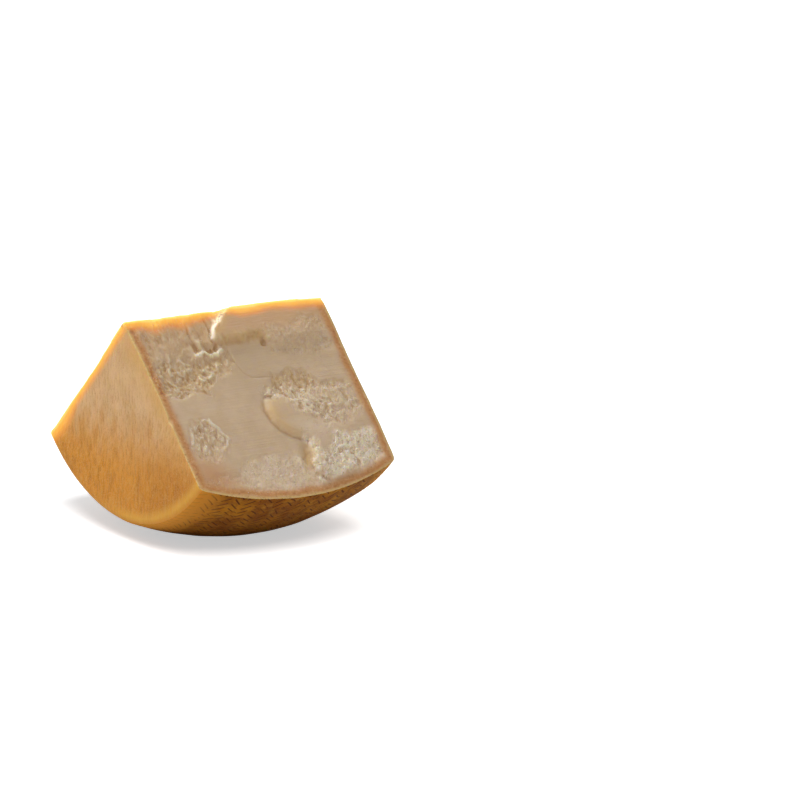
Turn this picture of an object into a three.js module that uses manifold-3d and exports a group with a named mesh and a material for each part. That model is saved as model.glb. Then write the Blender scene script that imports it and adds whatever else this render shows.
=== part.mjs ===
// A quarter of a large hard cheese, lying on its curved rind with the top edge level.
// Millimetres. The wheel's axis is the wedge's top edge and runs along +X. The front cut face
// looks towards -Y and up, the back one towards +Y and up, and the floor is z = 0.
import * as THREE from "three";
import { mergeVertices } from "three/addons/utils/BufferGeometryUtils.js";
import Module from "manifold-3d";

// The wheel that the quarter was cut from
const SIDE_HEIGHT = 221; // between the rims of its two flat faces
const RIM_RADIUS = 192; // where a flat face meets the side
const SIDE_BULGE = 23.6; // how far the side stands out at mid height
const RIM_ROUNDING = 6; // worn edge between a flat face and the side
const LEFT_DISH = 2.5; // the left flat face is sunk by this at its centre
const RIGHT_DOME = 6; // the right flat face stands out by this at its centre

// The cuts, and how the quarter rests
const WEDGE_ANGLE = THREE.MathUtils.degToRad(91.2);
const REST_FLAT_DEPTH = 1.2; // how far the rind is pressed flat under the wedge

// How finely each surface is divided
const FRONT_CELL = 3.9;
const BACK_CELL = 7.5;
const WHEEL_SEGMENTS = 120;
const SIDE_STEPS = 14;
const ROUNDING_STEPS = 3;
const FLAT_FACE_RADII = [35, 70, 105, 140, 168];

const MAX_RADIUS = RIM_RADIUS + SIDE_BULGE;
const HALF_HEIGHT = SIDE_HEIGHT / 2;
const HALF_ANGLE = WEDGE_ANGLE / 2;
const AXIS_HEIGHT = MAX_RADIUS - REST_FLAT_DEPTH;
const AXIS_SHIFT = -RIGHT_DOME / 2; // brings the middle of the whole to x = 0

const { clamp, smoothstep, lerp } = THREE.MathUtils;

// ---- Broken-cheese texture, the same on every run ----

// A random number from 0 to 1 that belongs to one square of a grid.
function scatter(i, j, seed) {
  let h = Math.imul(i, 374761393) + Math.imul(j, 668265263) + Math.imul(seed, 1274126177);
  h = Math.imul(h ^ (h >>> 13), 1274126177);
  return ((h ^ (h >>> 16)) >>> 0) / 4294967296;
}

// Smooth waves from -1 to 1, one grid square across.
function ripple(x, y, seed) {
  const i = Math.floor(x);
  const j = Math.floor(y);
  const a = smoothstep(x - i, 0, 1);
  const b = smoothstep(y - j, 0, 1);
  const near = lerp(scatter(i, j, seed), scatter(i + 1, j, seed), a);
  const far = lerp(scatter(i, j + 1, seed), scatter(i + 1, j + 1, seed), a);
  return 2 * lerp(near, far, b) - 1;
}

// Granular paste: soft tilted facets, one to a grid square, from about -1 to 1.
function crumble(x, y, seed) {
  let total = 0;
  let weight = 0;
  for (let i = Math.floor(x) - 1; i <= Math.floor(x) + 1; i++) {
    for (let j = Math.floor(y) - 1; j <= Math.floor(y) + 1; j++) {
      const dx = x - i - scatter(i, j, seed);
      const dy = y - j - scatter(i, j, seed + 1);
      const tiltX = 2 * scatter(i, j, seed + 2) - 1;
      const tiltY = 2 * scatter(i, j, seed + 3) - 1;
      const share = Math.exp(-8 * (dx * dx + dy * dy));
      total += share * (2 * scatter(i, j, seed + 4) - 1 + 1.1 * (dx * tiltX + dy * tiltY));
      weight += share;
    }
  }
  return total / (weight + 1e-9);
}

// How far a point lies inside an outline, or outside it when negative.
function depthInside(outline, u, v) {
  let nearest = Infinity;
  let inside = false;
  for (let k = 0; k < outline.length; k++) {
    const [au, av] = outline[k];
    const [bu, bv] = outline[(k + 1) % outline.length];
    const du = bu - au;
    const dv = bv - av;
    const along = clamp(((u - au) * du + (v - av) * dv) / (du * du + dv * dv), 0, 1);
    nearest = Math.min(nearest, Math.hypot(u - au - along * du, v - av - along * dv));
    if (av > v !== bv > v && u < au + (du * (v - av)) / dv) {
      inside = !inside;
    }
  }
  return inside ? nearest : -nearest;
}

// 1 inside an outline and 0 outside, changing over a band on both sides of it.
function patch(outline, u, v, band) {
  return smoothstep(depthInside(outline, u, v), -band, band);
}

// The same with a frayed edge, of fingers that run down the face.
function ragged(outline, u, v, seed, band) {
  const fingers = 2.6 * ripple(u / 7, v / 13, seed) + 2.4 * ripple(u / 11, v / 11, seed + 1);
  return smoothstep(depthInside(outline, u, v) + fingers, -band, band);
}

function bell(x) {
  return Math.exp(-x * x);
}

// ---- The wheel ----

// The side's radius at a distance along the axis from mid height.
function sideRadius(x) {
  const share = x / HALF_HEIGHT;
  return RIM_RADIUS + SIDE_BULGE * (1 - share * share);
}

// A flat face's distance from the rims' plane, outwards when positive.
function faceStand(radius, stand) {
  const share = Math.min(radius / (RIM_RADIUS - RIM_ROUNDING), 1);
  return stand * (1 - share * share);
}

// One flat face and its rounded rim, from the axis to the side; end is -1 on the left.
function faceProfile(end, stand) {
  const flatRadius = RIM_RADIUS - RIM_ROUNDING;
  const sideX = HALF_HEIGHT - RIM_ROUNDING;
  const points = [0, ...FLAT_FACE_RADII, flatRadius].map(
    (r) => new THREE.Vector2(r, end * (HALF_HEIGHT + faceStand(r, stand))),
  );
  const rounding = new THREE.QuadraticBezierCurve(
    new THREE.Vector2(flatRadius, end * HALF_HEIGHT),
    new THREE.Vector2(sideRadius(HALF_HEIGHT), end * HALF_HEIGHT),
    new THREE.Vector2(sideRadius(sideX), end * sideX),
  );
  return [...points, ...rounding.getPoints(ROUNDING_STEPS).slice(1)];
}

function wheelGeometry() {
  const sideX = HALF_HEIGHT - RIM_ROUNDING;
  const side = [];
  for (let step = 1; step < SIDE_STEPS; step++) {
    const x = lerp(-sideX, sideX, step / SIDE_STEPS);
    side.push(new THREE.Vector2(sideRadius(x), x));
  }
  const left = faceProfile(-1, -LEFT_DISH);
  const right = faceProfile(1, RIGHT_DOME).reverse();
  const geometry = new THREE.LatheGeometry([...left, ...side, ...right], WHEEL_SEGMENTS);
  return geometry.rotateZ(-Math.PI / 2);
}

// ---- The two cut faces ----
// A place on a cut face is u, from its left edge, and v, down the face from the top edge.

function distanceToRind(u, v) {
  return Math.min(u, SIDE_HEIGHT - u, sideRadius(u - HALF_HEIGHT) - v);
}

// A thick flake still standing at the top right, with a broken wall on its left
const UPPER_PLATE = [
  [126, -30], [125, -12], [112, 1], [102, 12], [93, 21], [86, 30], [92, 40], [142, 46],
  [155, 54], [240, 56], [240, -30],
];
const UPPER_PLATE_STAND = 4.4;
// Paste pulled off in strips at the top left
const TORN_STRIPS = [
  [7, 5], [108, 2], [94, 26], [97, 46], [99, 60], [94, 68], [80, 75], [66, 82], [52, 90], [12, 92], [7, 78],
];
// Two hollows that flakes left in the strips, each with a curled lip along its foot
const SCALLOPS = [
  { middle: 65.5, halfWidth: 6.5, foot: 46, curl: 2.5, depth: 2 },
  { middle: 82.5, halfWidth: 10.5, foot: 49, curl: 6.5, depth: 3 },
];
// Thin flakes that still stand in the strips
const FLAKES = [
  { u: 70.5, v: 35, width: 3.2, height: 5, stand: 1.9 },
  { u: 31, v: 34, width: 4, height: 4, stand: 1.1 },
];
// A tongue of paste that broke away later than its surroundings
const TONGUE = [
  [121, 97], [110, 106], [106.5, 118], [108, 131], [113, 141], [122, 149], [136, 157],
  [133, 168], [128, 181], [128, 192], [140, 204], [216, 200], [216, 100], [165, 84], [131, 80],
];
const TONGUE_STAND = 3.2;
const TONGUE_SCARP = 9; // width of its rounded edge
// Granular patches
const MIDDLE_GRAINS = [
  [111, 104], [116, 95], [124, 92], [130, 79], [166, 79], [176, 95], [214, 97], [214, 126],
  [200, 140], [164, 140], [156, 131], [145, 127], [138, 113], [124, 105],
];
const LOWER_GRAINS = [
  [133, 153], [142, 160], [152, 166], [175, 152], [214, 153], [212, 176], [200, 190], [176, 197],
  [128, 205], [130, 185], [133, 168],
];
const LEFT_GRAINS = [
  [18, 125], [30, 119], [43, 119], [47, 131], [52, 144], [46, 154], [38, 162], [20, 165], [11, 147],
];
const FOOT_GRAINS = [
  [14, 183], [50, 178], [74, 168], [118, 166], [127, 176], [130, 200], [120, 207], [60, 204],
];
const RIGHT_GRIT = [[144, 28], [216, 20], [216, 60], [176, 60], [143, 53]];
const SMALL_PIT = { u: 140, v: 43, radius: 4, depth: 3 };
const EDGE_NICK = { u: 1, v: 113, width: 4, height: 5, depth: 2.8 };

function upperPlate(u, v) {
  const right = smoothstep(u, 138, 156);
  const ledge = 1 - smoothstep(v, lerp(29, 35, right), lerp(39, 57, right));
  const fade = 1 - 0.75 * smoothstep(u, 190, 216);
  const slope = 1.8 + 2.6 * (1 - smoothstep(v, 2, 27));
  return UPPER_PLATE_STAND * ledge * fade * patch(UPPER_PLATE, u, v, slope);
}

function tornStrips(u, v) {
  const sunk = smoothstep(depthInside(TORN_STRIPS, u, v), -2, 22);
  const low = smoothstep(v, 40, 62) * (1 - 0.5 * smoothstep(u, 70, 84));
  const strips = (1 - 0.25 * low) * 0.8 * ripple(u / 8, v / 26, 4);
  const lumps = (0.35 + 0.65 * low) * crumble(u / 8, v / 10, 5);
  return ragged(TORN_STRIPS, u, v, 201, 5) * (strips + lumps) - (0.9 + 0.4 * low) * sunk;
}

function scallop({ middle, halfWidth, foot, curl, depth }, u, v) {
  const across = Math.abs(u - middle) / halfWidth;
  const edge = foot - curl * across * across;
  const lip = 2 * (1 - smoothstep(across, 0.75, 1.1)) * bell((v - edge - 1.7) / 2.8);
  const down = smoothstep(v, edge - 16, edge - 5) * (1 - smoothstep(v, edge - 3.5, edge + 0.5));
  return lip - depth * down * (1 - smoothstep(across, 0.3, 0.95));
}

function flake(one, u, v) {
  return one.stand * bell((u - one.u) / one.width) * bell((v - one.v) / one.height);
}

function tongue(u, v) {
  const depth = depthInside(TONGUE, u, v);
  const rise = Math.sin((clamp(depth / TONGUE_SCARP, 0, 1) * Math.PI) / 2);
  const fade = smoothstep(v, 90, 124) * (1 - clamp((u - 122) / 92, 0, 1));
  const crease = 0.6 * bell((depth + 1) / 2.6) * smoothstep(v, 102, 112) * (1 - smoothstep(v, 150, 160));
  return TONGUE_STAND * rise * fade - (u < 140 ? crease : 0);
}

function grains(u, v) {
  const combed = 0.6 * (1 - smoothstep(v, 92, 106)) * (ripple(u / 7, v / 18, 12) - 0.4);
  const coarse = 0.3 + 0.7 * smoothstep(v, 86, 100);
  const towardsRind = 1 - 0.45 * smoothstep(u, 168, 196);
  const middleLumps = towardsRind * (coarse * crumble(u / 7, v / 8, 11) + combed - 0.2);
  const lowerSize = lerp(1.1, 0.8, smoothstep(u, 176, 190));
  const lowerLumps = lowerSize * crumble((u + 0.25 * v) / 8, v / 10, 21) + 0.3;
  const leftDepth = depthInside(LEFT_GRAINS, u, v);
  const leftRim = 1.1 * bell((leftDepth - 0.5) / 2) * smoothstep(u, 26, 38) * (1 - smoothstep(v, 146, 156));
  const valley = 1.7 * bell((u - 127 - 0.3 * (175 - v)) / 4.8) * bell((v - 176) / 17);
  const ridgeLength = smoothstep(v, 150, 160) * (1 - smoothstep(v, 190, 202));
  const ridge = 1.5 * ridgeLength * bell((u - 137 + 0.05 * (175 - v)) / 5);
  const spur = 1.1 * bell((u - 119) / 4.5) * bell((v - 182) / 12);
  return (
    ragged(MIDDLE_GRAINS, u, v, 211, 5) * middleLumps +
    ragged(LOWER_GRAINS, u, v, 221, 5) * lowerLumps +
    ragged(LEFT_GRAINS, u, v, 231, 4) * 0.9 * crumble(u / 6.5, v / 9, 31) +
    ragged(FOOT_GRAINS, u, v, 241, 6) * 0.4 * crumble(u / 7, v / 7, 41) +
    ragged(RIGHT_GRIT, u, v, 251, 5) * 0.4 * crumble(u / 7, v / 7, 61) +
    leftRim - 0.8 * smoothstep(leftDepth, 1, 14) - valley + ridge + spur
  );
}

// The front face's relief over the plane of the cut. Its outlines are torn a little by two ripples.
function frontRelief(u, v) {
  const tornU = u + 2.2 * ripple(u / 12, v / 12, 1);
  const tornV = v + 2.2 * ripple(u / 12, v / 12, 2);
  const scallops = SCALLOPS.reduce((stand, one) => stand + scallop(one, tornU, tornV), 0);
  const flakes = FLAKES.reduce((stand, one) => stand + flake(one, tornU, tornV), 0);
  const pit = SMALL_PIT.depth * bell(Math.hypot(u - SMALL_PIT.u, v - SMALL_PIT.v) / SMALL_PIT.radius);
  const nickAcross = bell((u - EDGE_NICK.u) / EDGE_NICK.width);
  const nick = EDGE_NICK.depth * nickAcross * bell((v - EDGE_NICK.v) / EDGE_NICK.height);
  const broken = tornStrips(tornU, tornV) + scallops + flakes + grains(tornU, tornV) - pit;
  const shallow = smoothstep(distanceToRind(u, v), 1, 9);
  const waver = 0.5 * ripple(u / 70, v / 45, 3);
  return shallow * broken + upperPlate(tornU, tornV) + tongue(u, v) + waver - nick;
}

// The back face broke in the same way, into smooth and torn stretches divided by low steps.
function backRelief(u, v) {
  const tornU = u + 4 * ripple(u / 20, v / 20, 51);
  const tornV = v + 4 * ripple(u / 20, v / 20, 52);
  const torn = smoothstep(ripple(tornU / 80, tornV / 64, 53), -0.05, 0.12);
  const step = smoothstep(ripple(tornU / 95, tornV / 120, 54), -0.02, 0.06);
  const lumps = 1.5 * crumble(u / 13, v / 16, 55) + 0.9 * ripple(u / 9, v / 30, 60);
  const shallow = smoothstep(distanceToRind(u, v), 1, 12) * smoothstep(v, 4, 22);
  const waver = 0.6 * ripple(u / 70, v / 50, 61);
  return shallow * (torn * (lumps - 1.6) + 2.6 * (step - 0.5)) + waver;
}

// A closed block that fills all the space behind one cut face, which is its relief-bearing top.
// down runs down the face from the top edge, and outward looks out of the cheese.
function behindCut(down, outward, cell, relief) {
  const margin = 16;
  const reach = 260;
  const columns = Math.ceil((SIDE_HEIGHT + 2 * margin) / cell);
  const rows = Math.ceil((MAX_RADIUS + 2 * margin) / cell);
  const along = new THREE.Vector3(1, 0, 0);
  const rightHanded = new THREE.Vector3().crossVectors(along, down).dot(outward) > 0;
  const positions = [];
  const heights = [];
  const index = [];

  function addPoint(u, v, stand) {
    const point = new THREE.Vector3(u - HALF_HEIGHT, 0, 0);
    point.addScaledVector(down, v).addScaledVector(outward, stand);
    positions.push(point.x, point.y, point.z);
    return positions.length / 3 - 1;
  }

  function addTriangle(a, b, c) {
    index.push(...(rightHanded ? [a, b, c] : [a, c, b]));
  }

  for (let row = 0; row <= rows; row++) {
    for (let column = 0; column <= columns; column++) {
      const u = lerp(-margin, SIDE_HEIGHT + margin, column / columns);
      const v = lerp(-margin, MAX_RADIUS + margin, row / rows);
      const height = relief(u, v);
      addPoint(u, v, height);
      heights.push(height);
    }
  }

  const at = (column, row) => row * (columns + 1) + column;
  for (let row = 0; row < rows; row++) {
    for (let column = 0; column < columns; column++) {
      const a = at(column, row);
      const b = at(column + 1, row);
      const c = at(column + 1, row + 1);
      const d = at(column, row + 1);
      // each square folds along the diagonal that bends it least
      if (Math.abs(heights[a] - heights[c]) < Math.abs(heights[b] - heights[d])) {
        addTriangle(a, b, c);
        addTriangle(a, c, d);
      } else {
        addTriangle(a, b, d);
        addTriangle(b, c, d);
      }
    }
  }

  const border = [];
  for (let column = 0; column < columns; column++) border.push(at(column, 0));
  for (let row = 0; row < rows; row++) border.push(at(columns, row));
  for (let column = columns; column > 0; column--) border.push(at(column, rows));
  for (let row = rows; row > 0; row--) border.push(at(0, row));
  const sunk = border.map((k) => {
    const point = new THREE.Vector3().fromArray(positions, 3 * k).addScaledVector(outward, -reach);
    positions.push(point.x, point.y, point.z);
    return positions.length / 3 - 1;
  });
  const middle = addPoint(HALF_HEIGHT, MAX_RADIUS / 2, -reach);
  border.forEach((a, k) => {
    const next = (k + 1) % border.length;
    addTriangle(a, sunk[k], border[next]);
    addTriangle(sunk[k], sunk[next], border[next]);
    addTriangle(sunk[k], middle, sunk[next]);
  });

  const geometry = new THREE.BufferGeometry();
  geometry.setAttribute("position", new THREE.Float32BufferAttribute(positions, 3));
  geometry.setIndex(index);
  return geometry;
}

// ---- Cutting the quarter ----

const wasm = await Module();
wasm.setup();

function solidOf(geometry) {
  const bare = geometry.clone();
  bare.deleteAttribute("normal");
  bare.deleteAttribute("uv");
  const merged = mergeVertices(bare, 1e-4);
  return new wasm.Manifold(new wasm.Mesh({
    numProp: 3,
    vertProperties: new Float32Array(merged.attributes.position.array),
    triVerts: new Uint32Array(merged.index.array),
  }));
}

function geometryOf(solid) {
  const mesh = solid.getMesh();
  const geometry = new THREE.BufferGeometry();
  geometry.setAttribute("position", new THREE.BufferAttribute(mesh.vertProperties, 3));
  geometry.setIndex(new THREE.BufferAttribute(mesh.triVerts, 1));
  return geometry;
}

function spaceAboveFloor() {
  const size = 3 * MAX_RADIUS;
  const box = new THREE.BoxGeometry(size, size, size);
  return box.translate(0, 0, size / 2 - AXIS_HEIGHT);
}

function wedgeGeometry() {
  const reachY = Math.sin(HALF_ANGLE);
  const reachZ = Math.cos(HALF_ANGLE);
  const front = behindCut(
    new THREE.Vector3(0, -reachY, -reachZ),
    new THREE.Vector3(0, -reachZ, reachY),
    FRONT_CELL,
    frontRelief,
  );
  const back = behindCut(
    new THREE.Vector3(0, reachY, -reachZ),
    new THREE.Vector3(0, reachZ, reachY),
    BACK_CELL,
    backRelief,
  );
  const quarter = solidOf(wheelGeometry())
    .intersect(solidOf(front))
    .intersect(solidOf(back))
    .intersect(solidOf(spaceAboveFloor()));
  return geometryOf(quarter);
}

const rindAndPaste = new THREE.MeshStandardMaterial({ color: "#c39c68", roughness: 0.6, metalness: 0 });
const wedge = new THREE.Mesh(wedgeGeometry(), rindAndPaste);
wedge.name = "cheese_wedge";
wedge.position.set(AXIS_SHIFT, 0, AXIS_HEIGHT);

const group = new THREE.Group();
group.add(wedge);
export default group;
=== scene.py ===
"""A quarter of a large hard cheese, lying on its curved rind.

Blender objects are in metres. The forms below are worked out in millimetres and turned into metres
when a mesh is made. The wheel's axis is the wedge's top edge and runs along +X. The front cut face
looks towards -Y and up, the back one towards +Y and up.
"""

import math
from itertools import combinations

import bmesh
import bpy
import numpy as np
from mathutils import Matrix, Vector


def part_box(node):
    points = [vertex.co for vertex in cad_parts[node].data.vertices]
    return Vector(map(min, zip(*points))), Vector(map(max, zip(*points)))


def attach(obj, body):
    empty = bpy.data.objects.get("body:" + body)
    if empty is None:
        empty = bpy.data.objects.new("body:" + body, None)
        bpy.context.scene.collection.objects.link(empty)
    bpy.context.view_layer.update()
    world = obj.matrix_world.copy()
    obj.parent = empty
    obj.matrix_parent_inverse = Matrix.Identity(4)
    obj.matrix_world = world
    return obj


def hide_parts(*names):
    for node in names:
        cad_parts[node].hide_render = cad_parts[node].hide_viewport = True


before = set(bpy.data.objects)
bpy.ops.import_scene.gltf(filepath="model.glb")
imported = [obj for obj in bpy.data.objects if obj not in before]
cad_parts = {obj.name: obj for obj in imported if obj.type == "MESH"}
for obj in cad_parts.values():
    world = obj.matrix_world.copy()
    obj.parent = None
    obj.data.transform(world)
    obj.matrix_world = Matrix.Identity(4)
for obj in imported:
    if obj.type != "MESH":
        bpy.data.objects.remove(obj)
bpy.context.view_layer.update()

# ---- The wheel's skin ----
# The outside of the whole cheese: a low drum with a bulging side and two nearly flat faces. It was
# pressed in a round mould, then brined and aged, so its rim is worn round and its faces are uneven.

MM = 0.001
wedge_low, wedge_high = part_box("cheese_wedge")
RIGHT_DOME = 6.0  # the right flat face stands out by this at its centre
LEFT_DISH = 2.5  # the left flat face is sunk by this at its centre
SIDE_HEIGHT = (wedge_high.x - wedge_low.x) / MM - RIGHT_DOME
RIM_RADIUS = 192.0  # where a flat face meets the side
SIDE_BULGE = 23.6  # how far the side stands out at mid height
RIM_ROUNDING = 6.0  # the worn edge between a flat face and the side
REST_FLAT_DEPTH = 1.2  # how far the skin is pressed flat under the wedge
MAX_RADIUS = RIM_RADIUS + SIDE_BULGE
HALF_HEIGHT = SIDE_HEIGHT / 2
AXIS_HEIGHT = MAX_RADIUS - REST_FLAT_DEPTH
AXIS_SHIFT = -RIGHT_DOME / 2  # brings the middle of the whole to x = 0

FACE_RADII, ROUNDING_STEPS, SIDE_STEPS = 30, 5, 95  # how finely the profile is turned
FINE_REACH = 52  # degrees each way from straight down, the stretch that the wedge takes
FINE_STEPS, COARSE_STEPS = 156, 33
SIDE_SLOT, FACE_SLOT = 0, 1


def smooth_step(x, low, high):
    share = np.clip((x - low) / (high - low), 0.0, 1.0)
    return share * share * (3.0 - 2.0 * share)


def fade_out(x, low, high):
    return 1 - smooth_step(x, low, high)


def scatter(i, j, seed):
    """A random number from 0 to 1 that belongs to one square of a grid."""
    mask = np.uint64(0xFFFFFFFF)
    i, j = (np.asarray(n, np.int64).astype(np.uint64) & mask for n in (i, j))
    h = i * np.uint64(374761393) + j * np.uint64(668265263) + np.uint64(seed * 1274126177)
    h &= mask
    h = ((h ^ (h >> np.uint64(13))) * np.uint64(1274126177)) & mask
    return (h ^ (h >> np.uint64(16))).astype(float) / 4294967296.0


def ripple(x, y, seed):
    """Smooth waves from -1 to 1, one grid square across."""
    i, j = np.floor(x), np.floor(y)
    a, b = smooth_step(x - i, 0, 1), smooth_step(y - j, 0, 1)
    near = scatter(i, j, seed) * (1 - a) + scatter(i + 1, j, seed) * a
    far = scatter(i, j + 1, seed) * (1 - a) + scatter(i + 1, j + 1, seed) * a
    return 2 * (near * (1 - b) + far * b) - 1


def side_radius(x):
    return RIM_RADIUS + SIDE_BULGE * (1 - (x / HALF_HEIGHT) ** 2)


def face_stand(radius, stand):
    return stand * (1 - np.minimum(radius / (RIM_RADIUS - RIM_ROUNDING), 1) ** 2)


def face_profile(end, stand):
    """Radius and axis position along one flat face and its rounded rim, from the axis outwards."""
    flat_radius = RIM_RADIUS - RIM_ROUNDING
    side_x = HALF_HEIGHT - RIM_ROUNDING
    radii = np.linspace(0, flat_radius, FACE_RADII)
    flat = np.stack([radii, end * (HALF_HEIGHT + face_stand(radii, stand))], 1)
    t = np.linspace(0, 1, ROUNDING_STEPS + 1)[1:, None]
    start, corner, stop = (
        np.array([flat_radius, end * HALF_HEIGHT]),
        np.array([RIM_RADIUS, end * HALF_HEIGHT]),
        np.array([side_radius(side_x), end * side_x]),
    )
    rounding = start * (1 - t) ** 2 + corner * 2 * t * (1 - t) + stop * t**2
    return np.concatenate([flat, rounding])


def uneven_skin(profile, angles):
    """Points of the turned profile. The aged skin is never quite true: it waves and is lightly pocked."""
    radius, along = np.repeat(profile[:, 0], len(angles)), np.repeat(profile[:, 1], len(angles))
    angle = np.tile(angles, len(profile))
    arc = angle * MAX_RADIUS
    on_side = smooth_step(radius, RIM_RADIUS - 12, RIM_RADIUS + 2)
    side_waves = 0.7 * ripple(along / 62, arc / 70, 71) + 0.35 * ripple(along / 17, arc / 21, 72)
    y, z = radius * np.sin(angle), radius * np.cos(angle)
    face_waves = 0.45 * ripple(y / 55, z / 60, 73) + 0.18 * ripple(y / 16, z / 18, 74) - 0.5
    ends = smooth_step(radius, 4, 30) * (1 - on_side) * np.sign(along)
    radius = radius + on_side * side_waves
    along = along + ends * face_waves
    return np.stack([along, radius * np.sin(angle), -radius * np.cos(angle)], 1)


def mesh_of(name, points, triangles, slots=None):
    mesh = bpy.data.meshes.new(name)
    mesh.from_pydata((points * MM).tolist(), [], triangles.tolist())
    if slots is not None:
        mesh.polygons.foreach_set("material_index", slots.astype(np.int32))
    mesh.update()
    return mesh


def wheel_mesh():
    """The skin of the whole wheel, fine where the wedge takes it and coarse elsewhere."""
    side_x = HALF_HEIGHT - RIM_ROUNDING
    side_steps = np.linspace(-side_x, side_x, SIDE_STEPS + 1)[1:-1]
    side = np.stack([side_radius(side_steps), side_steps], 1)
    left, right = face_profile(-1, -LEFT_DISH), face_profile(1, RIGHT_DOME)[::-1]
    profile = np.concatenate([left, side, right])
    fine = np.radians(np.linspace(-FINE_REACH, FINE_REACH, FINE_STEPS + 1))
    coarse = np.radians(np.linspace(FINE_REACH, 360 - FINE_REACH, COARSE_STEPS + 1))[1:-1]
    angles = np.concatenate([fine, coarse])
    rows, turns = len(profile) - 2, len(angles)
    points = uneven_skin(profile[1:-1], angles)
    poles = np.array([[profile[0, 1], 0, 0], [profile[-1, 1], 0, 0]])
    left_pole, right_pole = len(points), len(points) + 1
    points = np.concatenate([points, poles])
    # the side's surface ends half way round each rim
    side_first = len(left) - 2 - ROUNDING_STEPS // 2
    side_last = len(profile) - len(right) + ROUNDING_STEPS // 2
    k = np.arange(turns)
    following = (k + 1) % turns
    triangles = [np.stack([np.full(turns, left_pole), k, following], 1)]
    slots = [np.full(turns, FACE_SLOT)]
    for row in range(rows - 1):
        a, b = row * turns + k, row * turns + following
        c, d = b + turns, a + turns
        triangles += [np.stack([a, d, c], 1), np.stack([a, c, b], 1)]
        slot = SIDE_SLOT if side_first <= row < side_last else FACE_SLOT
        slots += [np.full(turns, slot)] * 2
    end = (rows - 1) * turns
    triangles.append(np.stack([end + k, np.full(turns, right_pole), end + following], 1))
    slots.append(np.full(turns, FACE_SLOT))
    return mesh_of("wheel_skin", points, np.concatenate(triangles), np.concatenate(slots))


# ---- The cut faces ----
# Two cuts made with a short stiff blade that splits the cheese as much as it slices it. Where the
# blade slid the paste is smooth, and where the cheese split ahead of it the paste is torn and grainy.
# A place on a cut face is u, from its left edge, and v, down the face from the top edge.

UPPER_PLATE = [
    (126, -30), (125, -12), (112, 1), (102, 12), (93, 21), (86, 30), (92, 40), (142, 46), (155, 54),
    (240, 56), (240, -30),
]
UPPER_PLATE_STAND = 4.4
TORN_STRIPS = [
    (7, 5), (108, 2), (94, 26), (97, 46), (99, 60), (94, 68), (80, 75), (66, 82), (52, 90), (12, 92),
    (7, 78),
]
TONGUE = [
    (121, 97), (110, 106), (106.5, 118), (108, 131), (113, 141), (122, 149), (136, 157),
    (133, 168), (128, 181), (128, 192), (140, 204), (216, 200), (216, 100), (165, 84), (131, 80),
]
TONGUE_STAND = 3.2
TONGUE_SCARP = 9.0  # width of its rounded edge
# the patches of torn grains: the seed and the width of the ragged edge, and the outline
PATCHES = {
    "middle": (211, 5.0, [
        (111, 104), (116, 95), (124, 92), (130, 79), (166, 79), (176, 95), (214, 97), (214, 126),
        (200, 140), (164, 140), (156, 131), (145, 127), (138, 113), (124, 105),
    ]),
    "lower": (221, 5.0, [
        (133, 153), (142, 160), (152, 166), (175, 152), (214, 153), (212, 176), (200, 190), (176, 197),
        (128, 205), (130, 185), (133, 168),
    ]),
    "left": (231, 4.0, [
        (18, 125), (30, 119), (43, 119), (47, 131), (52, 144), (46, 154), (38, 162), (20, 165), (11, 147),
    ]),
    "foot": (241, 6.0, [
        (14, 183), (50, 178), (74, 168), (118, 166), (127, 176), (130, 200), (120, 207), (60, 204),
    ]),
    "right": (251, 5.0, [(144, 28), (216, 20), (216, 60), (176, 60), (143, 53)]),
}
HAIRLINE = [(98, 47), (99, 60), (103, 74), (110, 80), (129, 81.5)]
# two hollows that flakes left under the crack: middle, half width, foot, curl of the foot, depth
SCALLOPS = [(65.5, 6.5, 46, 2.5, 2.0), (82.5, 10.5, 49, 6.5, 3.0)]
# thin flakes that still stand upright beside them: u, v, width, height, stand
FLAKES = [(70.5, 35, 2.8, 5, 1.9), (31, 34, 4, 4, 1.1)]
# the nick in the left edge and its pale lip: u, v, width, height, depth
EDGE_NICK, NICK_LIP = (1, 113, 3.2, 4, 2.8), (1, 113, 3.4, 5)
# the pit at the end of the ledge, and the small bump beside it: u, v, radius, stand
PITS = [(140, 43, 3.4, -3.0), (146, 39, 2.8, 1.4)]


def crumble(x, y, seed):
    """Granular paste: soft tilted facets, one to a grid square, from about -1 to 1."""
    total, weight = np.zeros(np.shape(x)), np.zeros(np.shape(x))
    for across in (-1, 0, 1):
        for down in (-1, 0, 1):
            i, j = np.floor(x) + across, np.floor(y) + down
            dx, dy = x - i - scatter(i, j, seed), y - j - scatter(i, j, seed + 1)
            tilt_x, tilt_y = 2 * scatter(i, j, seed + 2) - 1, 2 * scatter(i, j, seed + 3) - 1
            share = np.exp(-8 * (dx * dx + dy * dy))
            total += share * (2 * scatter(i, j, seed + 4) - 1 + 1.1 * (dx * tilt_x + dy * tilt_y))
            weight += share
    return total / (weight + 1e-9)


def stones(u, v, width, height, seed):
    """Curd grains as large lumps with two sizes of smaller grain on them."""
    return (
        crumble(u / width, v / height, seed)
        + 0.65 * crumble(u / (0.52 * width), v / (0.52 * height), seed + 5)
        + 0.4 * crumble(u / (0.3 * width), v / (0.3 * height), seed + 10)
    )


def bell(x):
    return np.exp(-x * x)


def mound(u, v, at_u, at_v, width, height, stand=1.0):
    """A soft mound, or a soft spot in a mask."""
    return stand * bell((u - at_u) / width) * bell((v - at_v) / height)


def distance_to(path, u, v):
    nearest = np.full(np.shape(u), np.inf)
    for (au, av), (bu, bv) in zip(path, path[1:]):
        du, dv = bu - au, bv - av
        along = np.clip(((u - au) * du + (v - av) * dv) / (du * du + dv * dv), 0, 1)
        nearest = np.minimum(nearest, np.hypot(u - au - along * du, v - av - along * dv))
    return nearest


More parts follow.
